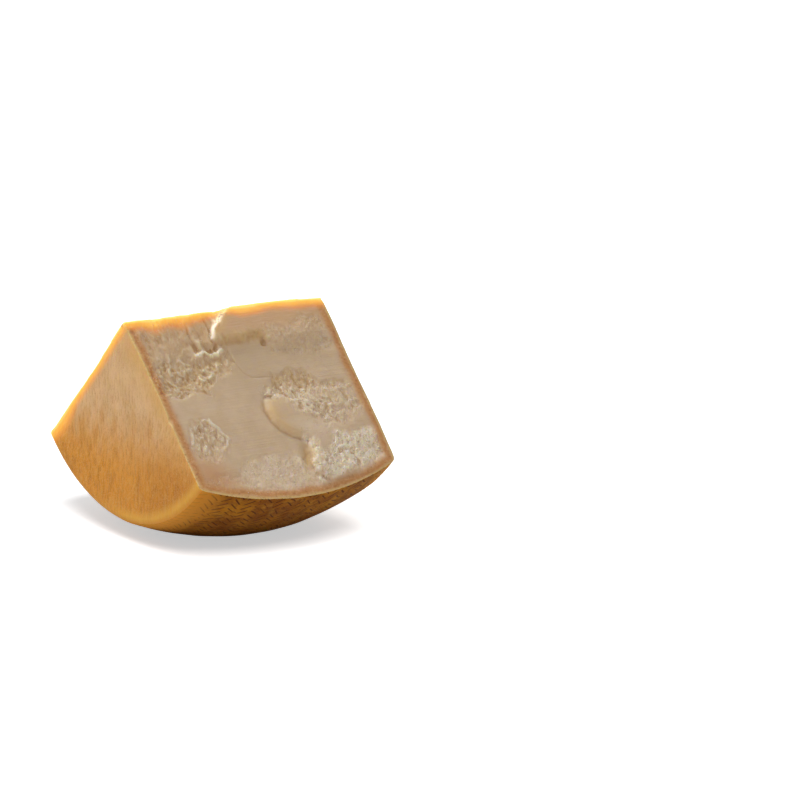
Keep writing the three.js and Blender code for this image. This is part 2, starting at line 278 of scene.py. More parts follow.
def depth_inside(outline, u, v):
    """How far a point lies inside an outline, or outside it when negative."""
    closed = [*outline, outline[0]]
    inside = np.zeros(np.shape(u), bool)
    for (au, av), (bu, bv) in zip(closed, closed[1:]):
        if av != bv:
            inside ^= ((av > v) != (bv > v)) & (u < au + (bu - au) * (v - av) / (bv - av))
    nearest = distance_to(closed, u, v)
    return np.where(inside, nearest, -nearest)


def distance_to_rind(u, v):
    side = side_radius(np.clip(u - HALF_HEIGHT, -HALF_HEIGHT, HALF_HEIGHT)) - v
    return np.minimum(np.minimum(u, SIDE_HEIGHT - u), side)


def torn_place(u, v):
    """A place pushed about a little, so that the outlines of the breaks are torn."""
    across = 2.2 * ripple(u / 12, v / 12, 1) + 0.7 * ripple(u / 3.5, v / 3.5, 81)
    down = 2.2 * ripple(u / 12, v / 12, 2) + 0.7 * ripple(u / 3.5, v / 3.5, 82)
    return u + across, v + down


def ragged(outline, u, v, seed, band=3.0):
    """How far into a broken patch a point lies, from 0 to 1, with an edge of fingers and loose islands."""
    fingers, bays = 3.2 * ripple(u / 4.3, v / 13, seed), 2.4 * ripple(u / 11, v / 11, seed + 1)
    return smooth_step(depth_inside(outline, u, v) + fingers + bays, -band, band)


def plate_edge(u, v):
    """How far a point lies inside the edge of the upper plate, which is frayed along the crack."""
    return depth_inside(UPPER_PLATE, u, v) + 1.5 * ripple(u / 3.6, v / 3.6, 17) * fade_out(v, 18, 30)


def upper_plate(u, v):
    """A thick flake still standing at the top right, with the crack's wall on its left and a ledge below."""
    right = smooth_step(u, 138, 156)
    top, foot = 29 + 6 * right, 39 + 18 * right
    thinning = 1 - 0.75 * smooth_step(u, 190, 216)
    wall_width = 1.0 + 3.4 * fade_out(v, 2, 27)
    cracks = 0.5 * ripple(u / 2.4, v / 8, 15) + 0.5 * ripple(u / 5, v / 4, 16)
    cracked = cracks * bell((v - 0.5 * (top + foot)) / 6)
    stand = UPPER_PLATE_STAND * fade_out(v, top, foot) * thinning + cracked * (1 - right)
    return smooth_step(plate_edge(u, v), -wall_width, wall_width) * stand


def torn_strips(u, v):
    """Paste pulled off in strips at the top left, coarser towards the foot."""
    inside = ragged(TORN_STRIPS, u, v, 201, 5.0)
    sunk = smooth_step(depth_inside(TORN_STRIPS, u, v), -2, 22)
    low = smooth_step(v, 40, 62) * (1 - 0.5 * smooth_step(u, 70, 84))
    strips = (1 - 0.25 * low) * (0.5 * ripple(u / 4.6, v / 26, 4) + 0.42 * ripple(u / 2.4, v / 12, 6))
    lumps = (0.25 + 0.5 * low) * stones(u, v, 5.0, 8.4, 5)
    return inside * (strips + lumps) - (0.9 + 0.4 * low) * sunk


def scallop(u, v, middle, half_width, foot, curl, depth):
    """A small hollow that a flake left, with a curled lip along its foot."""
    across = (u - middle) / half_width
    edge = foot - curl * across**2 + ripple(u / 2.8, 0 * u, 8)
    hollow = smooth_step(v, edge - 16, edge - 5) * fade_out(v, edge - 3.5, edge + 0.5)
    hollow = hollow * fade_out(abs(across), 0.3, 0.95) * (0.85 + 0.35 * ripple(u / 2.3, v / 5, 20))
    crumbly = 0.8 + 0.4 * ripple(u / 2.2, v / 2.2, 19)
    lip = fade_out(abs(across), 0.75, 1.1) * 2.2 * crumbly * bell((v - edge - 1.7) / 2.8)
    return lip - depth * hollow


def pulled_flakes(u, v):
    return sum(scallop(u, v, *one) for one in SCALLOPS) + sum(mound(u, v, *one) for one in FLAKES)


def tongue(u, v):
    """A tongue of paste that broke away later than its surroundings, with a rounded scarp."""
    depth = depth_inside(TONGUE, u, v)
    rise = np.sin(np.clip(depth / TONGUE_SCARP, 0, 1) * math.pi / 2)
    thinning = smooth_step(v, 90, 124) * (1 - np.clip((u - 122) / 92, 0, 1))
    crease = 0.6 * bell((depth + 1.0) / 2.6) * smooth_step(v, 102, 112) * fade_out(v, 150, 160)
    return TONGUE_STAND * rise * thinning - np.where(u < 140, crease, 0)


def left_patch_edge(u, v):
    return depth_inside(PATCHES["left"][2], u, v) + 1.4 * ripple(u / 3.4, v / 4.4, 35)


def grains(u, v):
    """The torn patches, with the valley and the ridge that run down from the tongue's end."""
    inside = {
        name: ragged(outline, u, v, seed, band) for name, (seed, band, outline) in PATCHES.items()}
    pile = mound(u, v, 120, 98, 6, 4.5, 1.2) * (0.6 + 0.5 * crumble(u / 3.6, v / 3.6, 18))
    combed = 0.6 * fade_out(v, 92, 106) * (ripple(u / 3.0, v / 15, 12) - 0.4)
    coarse = 0.2 + 0.46 * smooth_step(v, 86, 100)
    towards_rind = 1 - 0.45 * smooth_step(u, 168, 196)
    lower_size = 0.8 - 0.25 * smooth_step(u, 176, 190)
    left_depth = left_patch_edge(u, v)
    left_rim = 1.1 * bell((left_depth - 0.5) / 1.7) * smooth_step(u, 26, 38) * fade_out(v, 146, 156)
    patches = (
        pile
        + inside["middle"] * towards_rind * (coarse * stones(u, v, 5.0, 6.4, 11) + combed - 0.2)
        + inside["lower"] * (lower_size * stones(u + 0.25 * v, v, 6.2, 10, 21) + 0.3)
        + inside["left"] * 0.62 * stones(u, v, 4.4, 9, 31) - 0.8 * smooth_step(left_depth, 1, 14) + left_rim
        + inside["foot"] * 0.22 * stones(u, v, 5, 5.6, 41)
        + inside["right"] * 0.28 * stones(u, v, 3.8, 3.8, 61)
    )
    valley = 1.7 * bell((u - 127 - 0.3 * (175 - v)) / 4.8) * bell((v - 176) / 17)
    ridge = 1.5 * bell((u - 137 + 0.05 * (175 - v)) / 5) * smooth_step(v, 150, 160) * fade_out(v, 190, 202)
    return patches - valley + ridge + mound(u, v, 119, 182, 4.5, 12, 1.1), inside


def chalkiness(u, v, inside):
    """Where the torn curd is loose and powdery, so that it looks white."""
    return np.clip(
        inside["lower"] + (0.26 + 0.26 * smooth_step(u, 34, 66)) * inside["foot"]
        + 0.35 * smooth_step(v, 88, 104) * inside["middle"]
        + 0.25 * inside["left"] + 0.12 * inside["right"] + mound(u, v, 150, 143, 20, 11, 0.45)
        - 0.3 * bell((u - 138) / 6) * smooth_step(v, 150, 160)
        + mound(u, v, 122, 101, 9, 6, 0.5) + mound(u, v, 150, 117, 9, 11, 0.4),
        0, 1,
    )


def front_relief(u, v):
    """The front face's stand over the plane of the cut, and how torn and how chalky it is."""
    torn_u, torn_v = torn_place(u, v)
    lumps, inside = grains(torn_u, torn_v)
    pits = sum(stand * bell(np.hypot(u - at_u, v - at_v) / radius) for at_u, at_v, radius, stand in PITS)
    shallow = smooth_step(distance_to_rind(u, v), 1, 9)
    knife = 0.03 * ripple(u / 130, v / 1.9, 7) + 0.06 * ripple(u / 160, v / 7, 9)
    rough = ragged(TORN_STRIPS, torn_u, torn_v, 201) * (0.55 + 0.45 * smooth_step(v, 46, 60))
    for name, share in (("middle", 1), ("lower", 1), ("left", 1), ("foot", 0.7), ("right", 0.5)):
        rough = rough + share * inside[name]
    rough = np.clip(rough, 0, 1)
    top_edge = (1.4 - 0.8 * smooth_step(u, 92, 106)) * ripple(u / 8, v / 6, 10) * fade_out(v, 2, 9)
    stand = (
        shallow * (torn_strips(torn_u, torn_v) + pulled_flakes(torn_u, torn_v) + lumps + pits)
        + upper_plate(torn_u, torn_v)
        + tongue(u, v)
        + 0.5 * ripple(u / 70, v / 45, 3)
        + top_edge
        + (1 - rough) * knife
        - mound(u, v, *EDGE_NICK)
        - 0.45 * bell(distance_to(HAIRLINE, u, v) / 0.9)
    )
    return stand, rough * shallow, chalkiness(u, v, inside) * shallow


def waxy_shoulders(u, v):
    """Where the paste was pressed aside into rounded shoulders, which look yellower than the rest."""
    lip = bell((depth_inside(TONGUE, u, v) - 6) / 6.5) * smooth_step(v, 104, 118) * fade_out(v, 148, 157)
    ledge = bell((v - 34) / 6) * smooth_step(u, 86, 100) * fade_out(u, 136, 150)
    wall = bell((u + 0.9 * v - 119) / 6) * fade_out(v, 22, 34)
    valley = bell((u - 127 - 0.3 * (175 - v)) / 5.5) * bell((v - 177) / 15)
    pulled = mound(u, v, 88, 61, 10, 12, 0.35)
    return np.clip(0.8 * lip * fade_out(u, 120, 140) + 1.2 * ledge + wall + valley + pulled, 0, 1)


def dry_breaks_and_highlights(u, v, edge):
    """The sheer wall of the crack and the curled lips under it, where the paste is white and dry, with a
    painted highlight on top.
    """
    wall = bell((edge + 0.5) / (1.4 + 2.6 * fade_out(v, 2, 27))) * fade_out(v, 25, 33)
    wall = wall * fade_out(u, 112, 120)
    lips = mound(u, v, *NICK_LIP)
    for middle, half_width, foot, curl, _ in SCALLOPS:
        across = (u - middle) / half_width
        lip = bell((v - foot - 1.4 + curl * across**2) / 2.5)
        lips = lips + 0.6 * lip * fade_out(abs(across), 0.8, 1.15)
    rim = bell((left_patch_edge(u, v) - 0.5) / 1.9) * smooth_step(u, 34, 44) * fade_out(v, 142, 154)
    return np.clip(1.3 * wall + (lips + 0.4 * rim), 0, 1)


def back_relief(u, v):
    """The back face broke in the same way, into smooth and torn stretches divided by low steps."""
    torn_u, torn_v = u + 4 * ripple(u / 20, v / 20, 51), v + 4 * ripple(u / 20, v / 20, 52)
    torn = smooth_step(ripple(torn_u / 80, torn_v / 64, 53), -0.05, 0.12)
    step = smooth_step(ripple(torn_u / 95, torn_v / 120, 54), -0.02, 0.06)
    lumps = 1.5 * crumble(u / 13, v / 16, 55) + 0.9 * ripple(u / 9, v / 30, 60)
    shallow = smooth_step(distance_to_rind(u, v), 1, 12) * smooth_step(v, 4, 22)
    fine = 0.62 * crumble(u / 3.3, v / 3.8, 111) + 0.3 * crumble(u / 1.7, v / 2.0, 121)
    stand = shallow * (torn * (lumps + fine - 1.6) + 2.6 * (step - 0.5)) + 0.6 * ripple(u / 70, v / 50, 61)
    return stand, torn * shallow, 0.4 * torn * shallow


CUT_HALF_ANGLE = math.radians(91.2) / 2
CUT_Y, CUT_Z = math.sin(CUT_HALF_ANGLE), math.cos(CUT_HALF_ANGLE)
FRONT_DOWN, FRONT_OUT = np.array([0, -CUT_Y, -CUT_Z]), np.array([0, -CUT_Z, CUT_Y])
BACK_DOWN, BACK_OUT = np.array([0, CUT_Y, -CUT_Z]), np.array([0, CUT_Z, CUT_Y])
CUT_MARGIN = 12.0  # how far a cut reaches past the cheese
CUT_THICKNESS = 260.0


def behind_cut(name, down, outward, cell, relief):
    """A closed block that fills all the space behind one cut face, which is its broken top."""
    columns = math.ceil((SIDE_HEIGHT + 2 * CUT_MARGIN) / cell)
    rows = math.ceil((MAX_RADIUS + 2 * CUT_MARGIN) / cell)
    u, v = np.meshgrid(
        np.linspace(-CUT_MARGIN, SIDE_HEIGHT + CUT_MARGIN, columns + 1),
        np.linspace(-CUT_MARGIN, MAX_RADIUS + CUT_MARGIN, rows + 1),
    )
    stand = relief(u, v)[0]
    top = stand.ravel()[:, None] * outward + v.ravel()[:, None] * down
    top[:, 0] += u.ravel() - HALF_HEIGHT
    at = np.arange((rows + 1) * (columns + 1)).reshape(rows + 1, columns + 1)
    a, b, c, d = at[:-1, :-1], at[:-1, 1:], at[1:, 1:], at[1:, :-1]
    # each square folds along the diagonal that bends it least
    fold = np.abs(stand[:-1, :-1] - stand[1:, 1:]) < np.abs(stand[:-1, 1:] - stand[1:, :-1])
    one = np.where(fold[..., None], np.stack([a, b, c], -1), np.stack([a, b, d], -1))
    two = np.where(fold[..., None], np.stack([a, c, d], -1), np.stack([b, c, d], -1))
    border = np.concatenate([at[0, :-1], at[:-1, -1], at[-1, :0:-1], at[:0:-1, 0]])
    sunk = len(top) + np.arange(len(border))
    middle = len(top) + len(border)
    floor_edge = top[border] - CUT_THICKNESS * outward
    centre = (MAX_RADIUS / 2 * down - CUT_THICKNESS * outward)[None]
    next_border, next_sunk = np.roll(border, -1), np.roll(sunk, -1)
    triangles = np.concatenate([
        one.reshape(-1, 3),
        two.reshape(-1, 3),
        np.stack([border, sunk, next_border], 1),
        np.stack([sunk, next_sunk, next_border], 1),
        np.stack([sunk, np.full(len(border), middle), next_sunk], 1),
    ])
    if np.cross([1, 0, 0], down) @ outward < 0:
        triangles = triangles[:, ::-1]
    return mesh_of(name, np.concatenate([top, floor_edge, centre]), triangles)


def above_floor_mesh():
    """All the space above the floor: it presses the small flat on which the wedge rests."""
    size = 3 * MAX_RADIUS
    corners = np.array([(x, y, z) for z in (0, 1) for y in (0, 1) for x in (0, 1)], float)
    points = (corners - [0.5, 0.5, 0]) * size - [0, 0, AXIS_HEIGHT]
    quads = [(0, 2, 3, 1), (4, 5, 7, 6), (0, 1, 5, 4), (2, 6, 7, 3), (0, 4, 6, 2), (1, 3, 7, 5)]
    return mesh_of("above_floor", points, np.array(quads))


# ---- The wedge ----
# One solid piece of cheese, rind and paste together. Its skin comes from the wheel and its two broken
# faces from the cuts. The edges where they meet are a little crumbled, so they aren't knife sharp.

FRONT_CELL = 0.92
BACK_CELL = 2.1
SURFACES = ("side_rind", "face_rind", "front_paste", "back_paste")
FRONT_SLOT, BACK_SLOT = 2, 3
WEAR_SHARES = (0.75, 0.5)  # how much the first and second rings of points beside an edge are worn
WEAR_ROUNDS, LEVEL_ROUNDS = 5, 30
SKIN_SCALE = 24.0  # the depth at which the rind's colour has quite gone
HOLLOW_SCALE = 1.2  # a hollow this deep has its full painted shade
THIN_REACH = 19.0  # how far from the back cut the light from behind comes through
FRONT_CUT_REACH = 34.0  # how far from the front cut the rind's edge looks lighter
SHARP_ANGLE = math.radians(48)


def placed(name, data):
    """A new object in the scene with this mesh, lamp or camera."""
    made = bpy.data.objects.new(name, data)
    bpy.context.scene.collection.objects.link(made)
    return made


def temporary(mesh, *slots):
    for slot in slots:
        mesh.materials.append(bpy.data.materials.get(slot) or bpy.data.materials.new(slot))
    return placed(mesh.name, mesh)


def cut_wedge():
    """The wheel cut down to the wedge. Each surface keeps the material slot that it came with."""
    wheel = temporary(wheel_mesh(), "side_rind", "face_rind")
    cutters = [
        temporary(behind_cut("behind_front", FRONT_DOWN, FRONT_OUT, FRONT_CELL, front_relief), "front_paste"),
        temporary(behind_cut("behind_back", BACK_DOWN, BACK_OUT, BACK_CELL, back_relief), "back_paste"),
        temporary(above_floor_mesh(), "side_rind"),
    ]
    for cutter in cutters:
        cut = wheel.modifiers.new(cutter.name, "BOOLEAN")
        cut.operation, cut.solver, cut.object = "INTERSECT", "MANIFOLD", cutter
        cut.material_mode = "TRANSFER"
    depsgraph = bpy.context.evaluated_depsgraph_get()
    mesh = bpy.data.meshes.new_from_object(wheel.evaluated_get(depsgraph))
    for piece in [wheel, *cutters]:
        bpy.data.objects.remove(piece)
    work = bmesh.new()
    work.from_mesh(mesh)
    bmesh.ops.triangulate(work, faces=work.faces)
    work.to_mesh(mesh)
    work.free()
    return mesh


def values_of(items, name, width, kind=np.int32):
    """One property of every vertex, edge, loop or face of a mesh."""
    values = np.zeros(len(items) * width, kind)
    items.foreach_get(name, values)
    return values.reshape(-1, width) if width > 1 else values


def spread_evenly(values, edges, counts):
    """The mean of each vertex's neighbours."""
    total = np.zeros_like(values)
    for axis in range(values.shape[1]):
        for here, there in ((0, 1), (1, 0)):
            total[:, axis] += np.bincount(edges[:, here], values[edges[:, there], axis], len(values))
    return total / counts[:, None]


def touching_surfaces(mesh):
    """For each vertex, which of the surfaces it lies on."""
    corners = values_of(mesh.loops, "vertex_index", 1).reshape(-1, 3)
    slots = values_of(mesh.polygons, "material_index", 1)
    touching = np.zeros((len(mesh.vertices), len(SURFACES)), bool)
    for slot in range(len(SURFACES)):
        touching[corners[slots == slot].ravel(), slot] = True
    return touching


def skin_depth(points):
    """How far under the wheel's skin each point lies."""
    radius = np.hypot(points[:, 1], points[:, 2])
    return np.minimum(
        side_radius(points[:, 0]) - radius,
        np.minimum(
            points[:, 0] + HALF_HEIGHT + face_stand(radius, -LEFT_DISH),
            HALF_HEIGHT + face_stand(radius, RIGHT_DOME) - points[:, 0],
        ),
    )


def surface_masks(points, sunk, front, back):
    """Each vertex's place on its cut face, and what else the materials need to know of it."""
    down = np.where(front[:, None], FRONT_DOWN, BACK_DOWN)
    u, v = points[:, 0] + HALF_HEIGHT, (points * down).sum(1)
    rough, chalk = np.zeros(len(points)), np.zeros(len(points))
    for face, relief in ((front, front_relief), (back, back_relief)):
        _, rough[face], chalk[face] = relief(u[face], v[face])
    torn = torn_place(u, v)
    behind_back = np.maximum(-(points @ BACK_OUT), 0)
    uneven = 1 + 0.4 * ripple(u / 16, v / 40, 91) + np.where(front, 0.14 * smooth_step(u, 96, 124), 0)
    to_back_edge = behind_back * uneven + np.where(back, THIN_REACH, 0)
    to_front_edge = np.where(front | back, 99, np.maximum(-(points @ FRONT_OUT), 0))
    on_cut = np.stack([u, v, np.zeros_like(u)], 1) * MM
    return on_cut, {
        "skin_depth": np.clip(skin_depth(points) / SKIN_SCALE, 0, 1),
        "rough": rough,
        "chalk": chalk,
        "waxy": np.where(front, waxy_shoulders(u, v), 0),
        "dry_break_highlight": np.where(front, dry_breaks_and_highlights(*torn, plate_edge(*torn)), 0),
        "hollow": np.clip(sunk / HOLLOW_SCALE, -1, 1),
        "thin": fade_out(to_back_edge, 0, THIN_REACH),
        "by_front_cut": fade_out(to_front_edge, 0, FRONT_CUT_REACH),
    }


def worn(mesh):
    """Rounds the edges where two surfaces meet, and gives each vertex what the materials need."""
    points = values_of(mesh.vertices, "co", 3, float) / MM
    edges = values_of(mesh.edges, "vertices", 2)
    counts = np.maximum(np.bincount(edges.ravel(), minlength=len(points)), 1)
    touching = touching_surfaces(mesh)
    wear = (touching.sum(1) > 1).astype(float)[:, None]
    for share in WEAR_SHARES:
        wear = np.maximum(wear, share * (spread_evenly(wear, edges, counts) > 0))
    for _ in range(WEAR_ROUNDS):
        points += 0.5 * wear * (spread_evenly(points, edges, counts) - points)

    front, back = touching[:, FRONT_SLOT], touching[:, BACK_SLOT] & ~touching[:, FRONT_SLOT]
    stand = (points * np.where(front[:, None], FRONT_OUT, BACK_OUT)).sum(1)
    level = stand[:, None]
    for _ in range(LEVEL_ROUNDS):
        level = np.where((front | back)[:, None], spread_evenly(level, edges, counts), level)
    on_cut, masks = surface_masks(points, level[:, 0] - stand, front, back)
    points[:, 0] += AXIS_SHIFT
    points[:, 2] += AXIS_HEIGHT
    mesh.vertices.foreach_set("co", (points * MM).ravel())
    place = mesh.attributes.new("on_cut", "FLOAT_VECTOR", "POINT")
    place.data.foreach_set("vector", on_cut.astype(np.float32).ravel())
    for name, values in masks.items():
        mesh.attributes.new(name, "FLOAT", "POINT").data.foreach_set("value", values.astype(np.float32))
    mesh.update()
    mesh.shade_smooth()
    mesh.set_sharp_from_angle(angle=SHARP_ANGLE)
    return mesh


wedge_mesh = worn(cut_wedge())
wedge_mesh.name = "wedge_of_cheese"
wedge = placed("wedge_of_cheese", wedge_mesh)
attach(wedge, "root")
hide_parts("cheese_wedge")


# ---- The paste ----
# Cooked, pressed and aged curd: dense, pale straw and slightly waxy where a blade slid over it,
# chalky where its grains are torn apart. Light goes a few millimetres into it and comes out warmer.

PASTE_GRAIN = 0.0011  # size of its finest grains, in metres
CRACK_LIGHT = (0.3, 0.2, 0.08, 1)  # the light that comes through the thin wall of the crack
CURD_LIGHT = (0.042, 0.018, 0.01, 1)  # the light that loose curd passes on from grain to grain
RIND_IN_SECTION = (  # by depth: a light outermost line of dry rind, lightened as a painted highlight on the edge, a brown band, then paste again
    (0.0, (242, 206, 150)),
    (0.05, (236, 198, 140)),
    (0.1, (222, 180, 126)),
    (0.19, (212, 153, 96)),
    (0.34, (219, 166, 113)),
    (0.60, (222, 191, 155)),
)


def node(tree, kind, inputs=None, **settings):
    """Adds a node to a material. Its inputs are plain values or what other nodes give."""
    made = tree.nodes.new(kind)
    for name, value in settings.items():
        setattr(made, name, value)
    for name, value in (inputs or {}).items():
        if isinstance(value, Given):
            tree.links.new(value.socket, made.inputs[name])
        else:
            made.inputs[name].default_value = value
    return made


class Given:
    """What a node gives: a number, a place or a colour. Sums with it add nodes to its own tree."""

    def __init__(self, socket):
        self.socket, self.tree = socket, socket.id_data

    def through(self, kind, inputs, output=0, **settings):
        return Given(node(self.tree, kind, inputs, **settings).outputs[output])

    def maths(self, operation, other=0.0):
        return self.through("ShaderNodeMath", {0: self, 1: other}, operation=operation)

    def __add__(self, other):
        return self.maths("ADD", other)

    def __sub__(self, other):
        return self.maths("SUBTRACT", other)

    def __rsub__(self, other):
        return self * -1.0 + other

    def __mul__(self, other):
        return self.maths("MULTIPLY", other)

    def __truediv__(self, other):
        return self.maths("DIVIDE", other)

    def eased(self, low, high):
        inputs = {0: self, 1: low, 2: high}
        return self.through("ShaderNodeMapRange", inputs, interpolation_type="SMOOTHSTEP")

    def mix(self, first, second, blend="MIX"):
        """The first colour where this is 0 and the second where it is 1."""
        inputs = {0: self, 6: first, 7: second}
        return self.through("ShaderNodeMix", inputs, 2, data_type="RGBA", blend_type=blend)

    def vector(self, operation, other, output=0):
        return self.through("ShaderNodeVectorMath", {0: self, 1: other}, output, operation=operation)

    def noise(self, scale, detail=3.0, roughness=0.55):
        inputs = {"Vector": self, "Scale": scale, "Detail": detail, "Roughness": roughness}
        return self.through("ShaderNodeTexNoise", inputs, "Fac")

    def parts(self):
        return [Given(part) for part in node(self.tree, "ShaderNodeSeparateXYZ", {0: self}).outputs]


def attribute(tree, name, output="Fac"):
    return Given(node(tree, "ShaderNodeAttribute", attribute_name=name).outputs[output])


def place_on(tree):
    return Given(node(tree, "ShaderNodeTexCoord").outputs["Object"])


def colour(red, green, blue):
    """A linear colour from the sRGB values that a paint card would give."""
    parts = [c / 255 for c in (red, green, blue)]
    return (*[c / 12.92 if c <= 0.04045 else ((c + 0.055) / 1.055) ** 2.4 for c in parts], 1.0)


def coats(base, *layers):
    """A base under thin coats, each given by how strong it is at a place and by its sRGB colour."""
    for strength, tone in layers:
        base = strength.mix(base, colour(*tone))
    return base


def new_material(name):
    material = bpy.data.materials.get(name) or bpy.data.materials.new(name)
    material.use_nodes = True
    material.node_tree.nodes.clear()
    return material, material.node_tree


def surface(tree, base, roughness, gloss, scattering=None, height=None, light=None):
    """Ends a material. Scattering is its share, how far each colour goes, and the reach in metres."""
    inputs = {"Base Color": base, "Roughness": roughness, "Specular IOR Level": gloss}
    if scattering:
        names = ("Subsurface Weight", "Subsurface Radius", "Subsurface Scale")
        inputs.update(zip(names, scattering))
    if height:
        inputs["Normal"] = height.through(
            "ShaderNodeBump", {"Height": height, "Distance": 1.0, "Strength": 0.8})
    if light:
        inputs.update({"Emission Color": light, "Emission Strength": 1.0})
    shader = Given(node(tree, "ShaderNodeBsdfPrincipled", inputs).outputs[0])
    node(tree, "ShaderNodeOutputMaterial", {"Surface": shader})
    return shader


def new_group(name, inputs, outputs):
    """A node group, and what its inputs give. Its sockets are given by name and kind."""
    tree = bpy.data.node_groups.new(name, "ShaderNodeTree")
    for way, sockets in (("INPUT", inputs), ("OUTPUT", outputs)):
        for label, kind in sockets.items():
            tree.interface.new_socket(label, in_out=way, socket_type="NodeSocket" + kind)
    return tree, [Given(socket) for socket in list(node(tree, "NodeGroupInput").outputs)[:len(inputs)]]


def curd_grain_group():
    """Pressed curd: small pale and dark grains that any cut or worn surface of the cheese shows."""
    tree, (place, size) = new_group(
        "curd_grain", {"Place": "Vector", "Size": "Float"}, {"Grain": "Float", "Mottle": "Float"})
    scale = size.through("ShaderNodeMath", {0: 1.0, 1: size}, operation="DIVIDE")
    grains_shown = {"Grain": place.noise(scale, 2.0, 0.6), "Mottle": place.noise(scale * 0.06, 4.0, 0.6)}
    node(tree, "NodeGroupOutput", grains_shown)
    return tree


def streaks_group():
    """Marks drawn out one way: torn fibres, knife lines or brush marks, by their width and length."""
    tree, (place, across, along, detail) = new_group(
        "streaks", {"Place": "Vector", "Across": "Float", "Along": "Float", "Detail": "Float"},
        {"Streaks": "Float"})
    size = across.through("ShaderNodeCombineXYZ", {0: across, 1: along, 2: 1.0})
    node(tree, "NodeGroupOutput", {"Streaks": place.vector("DIVIDE", size).noise(1.0, detail, 0.6)})
    return tree


def light_through_group():
    """The warm light that the edges of the back cut let through, redder the deeper it comes from."""
    tree, (thin,) = new_group("light_through", {"Thin": "Float"}, {"Light": "Color"})
    deep = thin.eased(0.0, 0.6).mix((0, 0, 0, 1), (0.18, 0.038, 0.002, 1))
    near = thin.eased(0.45, 0.9).mix(deep, (0.4, 0.16, 0.015, 1))
    edge = thin.eased(0.88, 1.0).mix(near, (0.46, 0.35, 0.11, 1))
    node(tree, "NodeGroupOutput", {"Light": edge})
    return tree


curd_grain, streaks, light_through = curd_grain_group(), streaks_group(), light_through_group()


def effect(tree, group, **inputs):
    """Places a group in a material with the material's own values."""
    return [Given(output) for output in node(tree, "ShaderNodeGroup", inputs, node_tree=group).outputs]


def drawn_out(place, across, along, detail=3.0):
    """Streaks of this width and length, in metres."""
    return effect(place.tree, streaks, Place=place, Across=across, Along=along, Detail=detail)[0]


def cut_paste(on_cut, down, masks, mottle, fibres, powder):
    """The colour of the paste away from the rind."""
    rough, chalk, hollow = masks["rough"], masks["chalk"], masks["hollow"]
    from_middle = on_cut.vector("DISTANCE", (0.112, 0.064, 0), "Value")
    scored = drawn_out(on_cut, 0.013, 0.0017)
    plain = (1.0 - rough) * (down.eased(0.044, 0.03) * 0.1 + 0.09)
    earthy = rough * (1.0 - chalk)
    # painted shade in the hollows and fibre grooves of torn paste, and a painted highlight on what stands out
    groove_shade = fibres.eased(0.5, 0.34) * rough.eased(0.4, 1.0)
    hollow_shade = hollow.eased(0.05, 0.9).maths("MAXIMUM", groove_shade * 0.7)
    proud_highlight = hollow.eased(-0.02, -0.6) * rough
    crest_highlight = fibres.eased(0.5, 0.66) * rough * 0.5
    # the lower left corner lay against the rind longest and has dried
    from_corner = on_cut.vector("DISTANCE", (0.012, 0.19, 0), "Value")
    return coats(
        mottle.eased(0.35, 0.65).mix(colour(226, 198, 163), colour(233, 206, 173)),
        (from_middle.eased(0.052, 0.012) * 0.6, (214, 187, 153)),  # duller round the middle
        (down.eased(0.052, 0.018) * 0.8, (230, 187, 143)),  # warmer towards the top edge
        (plain * scored.eased(0.5, 0.68), (244, 222, 190)),  # light and dark knife lines
        (plain * scored.eased(0.5, 0.32), (204, 166, 122)),
        (earthy * 0.85, (222, 188, 144)),  # torn paste is yellower, and darker in its hollows by painted shade,
        (hollow_shade * (chalk * -0.42 + 0.62), (192, 146, 90)),
        (proud_highlight.maths("MAXIMUM", crest_highlight) * 0.6, (240, 226, 200)),  # and paler on its crests by painted highlight
        (powder * 0.95, (255, 237, 211)),
        (masks["waxy"] * 0.7, (234, 199, 144)),
        # white dry breaks, with a painted highlight on the crack's wall and lips
        (masks["dry_break_highlight"], (253, 245, 226)),
        (from_corner.eased(0.046, 0.012) * 0.75, (222, 167, 118)),
    )


def rind_in_section(place, skin):
    """The colour of the band under the rind, and a mask of what lies deeper than it."""
    waver = place.noise(45.0, 4.0) * 0.3 - 0.15
    depth = skin + waver * skin.eased(0.03, 0.2)
    band = node(place.tree, "ShaderNodeValToRGB", {0: depth})
    ramp = band.color_ramp
    for position, tone in RIND_IN_SECTION:
        ramp.elements.new(position).color = colour(*tone)
    ramp.elements.remove(ramp.elements[0])
    ramp.elements.remove(ramp.elements[-1])
    spots = place.noise(330.0, 4.0, 0.7)
    banded = coats(
        Given(band.outputs[0]),
        (spots.eased(0.52, 0.66) * 0.5, (236, 200, 152)),
        (spots.eased(0.46, 0.34) * 0.5, (176, 112, 66)),
    )
    return banded, depth.eased(0.26, 0.66)


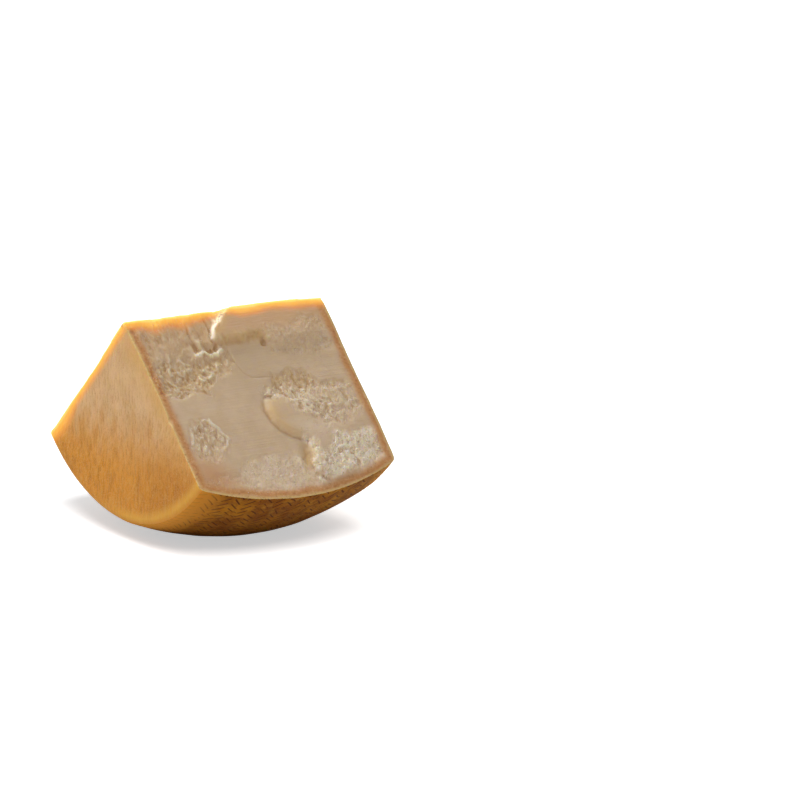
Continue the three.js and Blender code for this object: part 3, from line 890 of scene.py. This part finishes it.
def make_paste():
    material, tree = new_material("front_paste")
    place, on_cut = place_on(tree), attribute(tree, "on_cut", "Vector")
    names = ("skin_depth", "rough", "thin", "chalk", "hollow", "waxy", "dry_break_highlight")
    masks = {name: attribute(tree, name) for name in names}
    rough, thin = masks["rough"], masks["thin"]
    grain, mottle = effect(tree, curd_grain, Place=place, Size=PASTE_GRAIN)
    _, down, _ = on_cut.parts()
    fibres = drawn_out(on_cut, 0.0042, 0.016)
    dusty = masks["hollow"] * -0.2 + place.noise(75.0, 6.0, 0.72)
    powder = masks["chalk"] * dusty.eased(0.31, 0.52)
    paste = cut_paste(on_cut, down, masks, mottle, fibres, powder)
    banded, inside = rind_in_section(place, masks["skin_depth"])
    # near the back cut's sharp edges the colour is painted a deep yellow, a painted glow for the light from
    # behind that comes through them
    base = coats(
        inside.mix(banded, paste),
        (thin.eased(0.0, 0.7) * 0.6, (243, 179, 90)),
        (thin.eased(0.4, 0.95) * 0.85, (250, 204, 104)),
    )
    lit_wall = masks["dry_break_highlight"] * down.eased(0.036, 0.02)
    light = lit_wall.mix(effect(tree, light_through, Thin=thin)[0], CRACK_LIGHT)
    # knife lines where the blade slid, grains and torn fibres elsewhere
    knife = drawn_out(on_cut, 0.12, 0.0019, 2.0) * ((1.0 - rough) * 0.0003)
    height = knife + grain * (rough * 0.0006 + 0.0001) + fibres * rough * 0.0016
    surface(
        tree, base, rough * 0.2 + 0.52, 0.35, (0.75, (1.0, 0.82, 0.3), 0.011), height,
        powder.mix(light, CURD_LIGHT, "ADD"))
    return material


paste_material = make_paste()


# ---- The crumbs ----
# Bits of curd of one to three millimetres that broke loose where the cheese was torn and stuck there,
# half sunk in the paste. They are dry, so they look whiter than the paste behind them.

CRUMB_TRIES = 16000
CRUMB_SMALL, CRUMB_LARGE = 0.35, 1.6  # radius
CRUMB_SUNK = 0.1  # the share of its radius by which a crumb's middle lies under the surface
CRUMB_CORNERS = 12


def crumb_places(draw):
    """Where the crumbs lie, how far the face stands out there, and how large they get."""
    u, v = draw.uniform(8, SIDE_HEIGHT - 8, CRUMB_TRIES), draw.uniform(3, MAX_RADIUS - 10, CRUMB_TRIES)
    stand, rough, chalky = front_relief(u, v)
    by_tongue = mound(u, v, 120, 98, 9, 6)
    by_crack = dry_breaks_and_highlights(u, v, depth_inside(UPPER_PLATE, u, v)) * (v < 32)
    loose = 0.1 * rough + 0.26 * chalky + 0.8 * by_crack + 0.5 * by_tongue + mound(u, v, 57, 101, 4, 3, 0.3)
    kept = draw.random(CRUMB_TRIES) < loose
    large = np.clip(0.25 * rough + 0.5 * chalky + by_crack + 0.6 * by_tongue, 0.2, 1)
    return np.stack([u, v, stand, large], 1)[kept]


def crumb_shapes(draw, count):
    """Small uneven lumps, each a twenty-sided one with its corners pushed in and out."""
    golden = (1 + math.sqrt(5)) / 2
    corners = np.array([
        place
        for s in (-1, 1) for t in (-golden, golden)
        for place in ((0, s, t), (s, t, 0), (t, 0, s))
    ])
    corners /= np.linalg.norm(corners[0])
    close = np.linalg.norm(corners[:, None] - corners[None], axis=2) < 1.2
    sides = [
        (a, b, c) for a, b, c in combinations(range(CRUMB_CORNERS), 3)
        if close[a, b] and close[b, c] and close[a, c]
    ]
    sides = [s if np.linalg.det(corners[list(s)]) > 0 else (s[0], s[2], s[1]) for s in sides]
    pushed = draw.uniform(0.7, 1.2, (count, CRUMB_CORNERS, 1))
    lumps = corners[None] * pushed * draw.uniform(0.65, 1.25, (count, 1, 3))
    turn, _ = np.linalg.qr(draw.normal(size=(count, 3, 3)))
    turn *= np.sign(np.linalg.det(turn))[:, None, None]
    return np.einsum("nij,nkj->nki", turn, lumps), np.array(sides)


def crumbs_mesh():
    draw = np.random.default_rng(12)
    places = crumb_places(draw)
    count = len(places)
    lumps, sides = crumb_shapes(draw, count)
    size = CRUMB_SMALL + (CRUMB_LARGE - CRUMB_SMALL) * places[:, 3] * draw.random(count) ** 2.0
    middle = places[:, 1:2] * FRONT_DOWN + (places[:, 2:3] - CRUMB_SUNK * size[:, None]) * FRONT_OUT
    middle += np.stack([places[:, 0] - HALF_HEIGHT + AXIS_SHIFT, 0 * size, 0 * size + AXIS_HEIGHT], 1)
    points = middle[:, None] + size[:, None, None] * lumps
    triangles = sides[None] + CRUMB_CORNERS * np.arange(count)[:, None, None]
    return mesh_of("crumbs_on_the_break", points.reshape(-1, 3), triangles.reshape(-1, 3))


def make_crumb():
    material, tree = new_material("dry_crumb")
    grain, _ = effect(tree, curd_grain, Place=place_on(tree), Size=PASTE_GRAIN)
    base = grain.eased(0.35, 0.65).mix(colour(232, 206, 162), colour(252, 238, 208))
    surface(tree, base, 0.7, 0.3, (0.5, (1.0, 0.82, 0.4), 0.003))
    return material


crumbs = placed("crumbs_on_the_break", crumbs_mesh())
crumbs.data.materials.append(make_crumb())
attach(crumbs, "root")


# ---- The rind ----
# The dried and oiled outside of the wheel, golden brown and lightly waxy. The flat faces keep the
# fine upright brush marks of turning and cleaning; the side was pricked in the mould, in rows of
# short slanting strokes.

FACE_RIND_GRAIN, SIDE_RIND_GRAIN = 0.0013, 0.0014


def make_face_rind():
    """Pale round the middle of the face, deeper and more brushed towards the foot."""
    material, tree = new_material("face_rind")
    place = place_on(tree)
    grain, mottle = effect(tree, curd_grain, Place=place, Size=FACE_RIND_GRAIN)
    _, y, z = place.parts()
    upright = place.through("ShaderNodeCombineXYZ", {0: y, 1: z})
    swaying = upright.vector("ADD", place.noise(26.0, 2.0) * 0.012 - 0.006)
    brushed, broad = drawn_out(swaying, 0.0031, 0.011), drawn_out(swaying, 0.011, 0.036)
    below = AXIS_HEIGHT * MM - z
    outwards = (y.maths("POWER", 2.0) + below.maths("POWER", 2.0)).maths("SQRT")
    low_down = below + (broad * 0.06 - 0.03)
    towards_foot = low_down.eased(-0.02, 0.12)
    # a band of painted highlight along the rounded lower rim, patchy and stronger towards the front
    rim_highlight = outwards.eased(0.177, 0.187) * outwards.eased(0.2, 0.19)
    rim_highlight_share = y.eased(0.06, -0.04) * 0.7 + 0.08 + (mottle * 0.6 - 0.3)
    thin = attribute(tree, "thin")
    base = coats(
        mottle.eased(0.3, 0.7).mix(colour(232, 190, 137), colour(247, 206, 157)),
        (low_down.eased(0.075, 0.15), (240, 161, 44)),
        (outwards.eased(0.14, 0.178) * 0.6, (233, 154, 38)),
        (y.eased(-0.01, -0.07) * below.eased(0.09, 0.14) * 0.6, (212, 135, 16)),  # by the front corner
        (brushed.eased(0.48, 0.66) * towards_foot * 0.42, (190, 118, 36)),  # dark brush marks, fine
        (broad.eased(0.5, 0.64) * low_down.eased(0.05, 0.16) * 0.42, (196, 124, 34)),  # and broad
        (brushed.eased(0.46, 0.34) * towards_foot * 0.3, (246, 198, 118)),  # light ones between them
        (grain.eased(0.5, 0.66) * 0.4, (236, 196, 132)),
        (grain.eased(0.48, 0.34) * 0.24, (172, 110, 40)),
        # painted highlight on the lower rim
        (rim_highlight * rim_highlight_share, (255, 196, 84)),
        (attribute(tree, "by_front_cut") * below.eased(0.15, 0.08) * 0.42, (240, 186, 96)),
        (outwards.eased(0.186, 0.193), (238, 164, 60)),
        # painted glow near the back cut, for the light from behind that comes through the edge
        (thin.eased(0.0, 0.9) * 0.85, (250, 190, 82)),
    )
    grooves = brushed * (towards_foot * -0.0012 - 0.0006)
    light = effect(tree, light_through, Thin=thin)[0]
    surface(tree, base, 0.5, 0.4, (0.6, (1.0, 0.7, 0.16), 0.011), grain * 0.0005 + grooves, light)
    return material


ROW_SPACING = 0.0116  # between rows of pricked strokes, along the wheel's axis
STROKE_SPACING = 0.0084  # between strokes in a row, round the wheel
STROKE_LENGTH = 0.0125
STROKE_WIDTH = 0.0012
SECOND_ROWS = (0.005, 0.004)  # how far the other rows are moved, along the axis and round the wheel


def pricked_strokes(along_axis, along_arc, first_lean):
    """A mask of slanting strokes in rows that lean by turns one way and the other."""
    row = along_axis / ROW_SPACING
    lean = row.maths("FLOOR").maths("PINGPONG", 1.0) * (2.0 * first_lean) - first_lean
    across = (row.maths("FRACT") - 0.5) * ROW_SPACING
    column = (along_arc / STROKE_SPACING).maths("FRACT")
    leaning = lean * (column * STROKE_SPACING - STROKE_SPACING / 2)
    off_stroke, on_stroke = (across - leaning).maths("ABSOLUTE"), (across + leaning).maths("ABSOLUTE")
    root = math.sqrt(2)
    line = off_stroke.eased(STROKE_WIDTH * 0.9 * root, STROKE_WIDTH * 0.3 * root)
    return line * on_stroke.eased(STROKE_LENGTH / 2 * root, STROKE_LENGTH / 2.6 * root)


def all_strokes(place, x, y, z):
    """Two sets of rows that lean opposite ways, each faded out where the other shows."""
    turn = y.maths("ARCTAN2", AXIS_HEIGHT * MM - z)
    drift = place.noise(20.0, 2.0) * 0.012 - 0.006
    along_axis, along_arc = x + drift, turn * (MAX_RADIUS * MM) - drift
    first = pricked_strokes(along_axis, along_arc, 1.0)
    other = pricked_strokes(along_axis + SECOND_ROWS[0], along_arc + SECOND_ROWS[1], -1.0)
    showing = place.noise(38.0, 2.0).eased(0.34, 0.5)
    return (first * showing).maths("MAXIMUM", other * (1.0 - showing))


def make_side_rind():
    material, tree = new_material("side_rind")
    place = place_on(tree)
    grain, mottle = effect(tree, curd_grain, Place=place, Size=SIDE_RIND_GRAIN)
    x, y, z = place.parts()
    from_middle = (x - AXIS_SHIFT * MM).maths("ABSOLUTE")
    by_rim = from_middle.eased(HALF_HEIGHT * MM - 0.034, HALF_HEIGHT * MM - 0.004)
    stroke = all_strokes(place, x, y, z) * (by_rim * -0.8 + 1.0)
    base = coats(
        mottle.eased(0.35, 0.68).mix(colour(150, 84, 4), colour(203, 134, 24)),
        (place.noise(95.0, 5.0, 0.7).eased(0.52, 0.66) * 0.4, (206, 150, 62)),  # scuffs
        (grain.eased(0.4, 0.7) * 0.25, (208, 146, 46)),
        (place.noise(120.0, 5.0, 0.75).eased(0.5, 0.36) * 0.45, (126, 70, 8)),  # smudges
        # painted shade underneath, where the wedge sits on the table
        (z.eased(0.068, 0.0) * 0.92, (112, 62, 4)),  # darker underneath
        (by_rim, (232, 158, 58)),
        (stroke * 0.8, (92, 44, 8)),
    )
    surface(
        tree, base, 0.55, 0.12, (0.35, (1.0, 0.4, 0.1), 0.006), grain * 0.00035 - stroke * 0.0008)
    return material


for slot, material in enumerate((make_side_rind(), make_face_rind(), paste_material, paste_material)):
    wedge_mesh.materials[slot] = material


# ---- The table ----
# A plain white surface under soft studio light.

FLOOR_HALF = 40.0
floor_mesh = bpy.data.meshes.new("floor")
floor_corners = [(x * FLOOR_HALF, y * FLOOR_HALF, 0) for x, y in ((-1, -1), (1, -1), (1, 1), (-1, 1))]
floor_mesh.from_pydata(floor_corners, [], [(0, 1, 2, 3)])
floor = placed("floor", floor_mesh)


def where_seen(tree, unseen, seen):
    """One look for what the camera sees straight on, another for the light that it throws on things."""
    straight = Given(node(tree, "ShaderNodeLightPath").outputs["Is Camera Ray"])
    return straight.through("ShaderNodeMixShader", {0: straight, 1: unseen, 2: seen})


def make_table():
    """White to the eye, but it throws back less light and a warmer one, as a larger room would."""
    material, tree = new_material("white_table")
    shader = surface(tree, (0.9, 0.9, 0.9, 1), 0.9, 0.1)
    glow = shader.through("ShaderNodeEmission", {"Color": (1, 1, 1, 1), "Strength": 0.52})
    lit = shader.through("ShaderNodeAddShader", {0: glow, 1: shader})
    bounce = shader.through("ShaderNodeBsdfDiffuse", {"Color": (0.41, 0.38, 0.335, 1)})
    tree.links.new(where_seen(tree, bounce, lit).socket, tree.nodes["Material Output"].inputs[0])
    return material


floor_mesh.materials.append(make_table())


def lit_by(name, *objects):
    """A collection of what a lamp lights, so that the table stays white and free of hard shadows."""
    collection = bpy.data.collections.new(name)
    for thing in objects:
        collection.objects.link(thing)
    return collection


def hang_lamp(name, kind, power, direction, lights):
    light = bpy.data.lights.new(name, kind)
    light.energy = power
    lamp = placed(name, light)
    lamp.rotation_euler = Vector(direction).to_track_quat("-Z", "Y").to_euler()
    lamp.light_linking.receiver_collection = lights
    return light, lamp


on_wedge, on_table = lit_by("on_wedge", wedge, crumbs), lit_by("on_table", floor)
for name, lamp_place, target, (width, height), power in (
    ("top_lamp", (-0.25, 1.66, 2.5), (0, 0, 0.15), (0.6, 0.35), 42.0),
    ("overhead_lamp", (-0.4, -0.6, 2.6), (0, 0, 0.1), (1.8, 1.8), 18.0),
    ("side_lamp", (-2.6, 0.4, 0.9), (0, 0, 0.1), (1.2, 1.2), 18.5),
):
    light, lamp = hang_lamp(name, "AREA", power, Vector(target) - Vector(lamp_place), on_wedge)
    light.shape, light.size, light.size_y = "RECTANGLE", width, height
    lamp.location = lamp_place
    lamp.visible_camera = False
light, _ = hang_lamp("table_lamp", "SUN", 4.0, (0.25, 0.57, -0.79), on_table)
light.angle = math.radians(36)

world = bpy.data.worlds.new("studio")
bpy.context.scene.world = world
world.use_nodes = True
sky = world.node_tree
sky.nodes.clear()
white, room = (
    Given(node(sky, "ShaderNodeBackground", {"Color": (1, 1, 1, 1), "Strength": strength}).outputs[0])
    for strength in (1.0, 0.28)
)
node(sky, "ShaderNodeOutputWorld", {"Surface": where_seen(sky, room, white)})
bpy.context.scene.view_settings.view_transform = "Standard"


# ---- The camera ----
# It looks a little down on the front cut face from its left, as a food photographer's would.

CAMERA_AZIMUTH, CAMERA_ELEVATION, CAMERA_ROLL = -36.0, 12.5, 0.67
CAMERA_PLACE = (-1.7350, -2.6779, 0.8343)
camera_data = bpy.data.cameras.new("camera")
camera_data.sensor_width = 36.0
camera_data.lens = 152.74
camera = placed("camera", camera_data)
azimuth, elevation = math.radians(CAMERA_AZIMUTH), math.radians(CAMERA_ELEVATION)
backwards = Vector((
    math.sin(azimuth) * math.cos(elevation), -math.cos(azimuth) * math.cos(elevation), math.sin(elevation)))
level = backwards.to_track_quat("Z", "Y").to_matrix()
camera.matrix_world = (
    Matrix.Translation(CAMERA_PLACE) @ level.to_4x4() @ Matrix.Rotation(math.radians(CAMERA_ROLL), 4, "Z"))
bpy.context.scene.camera = camera
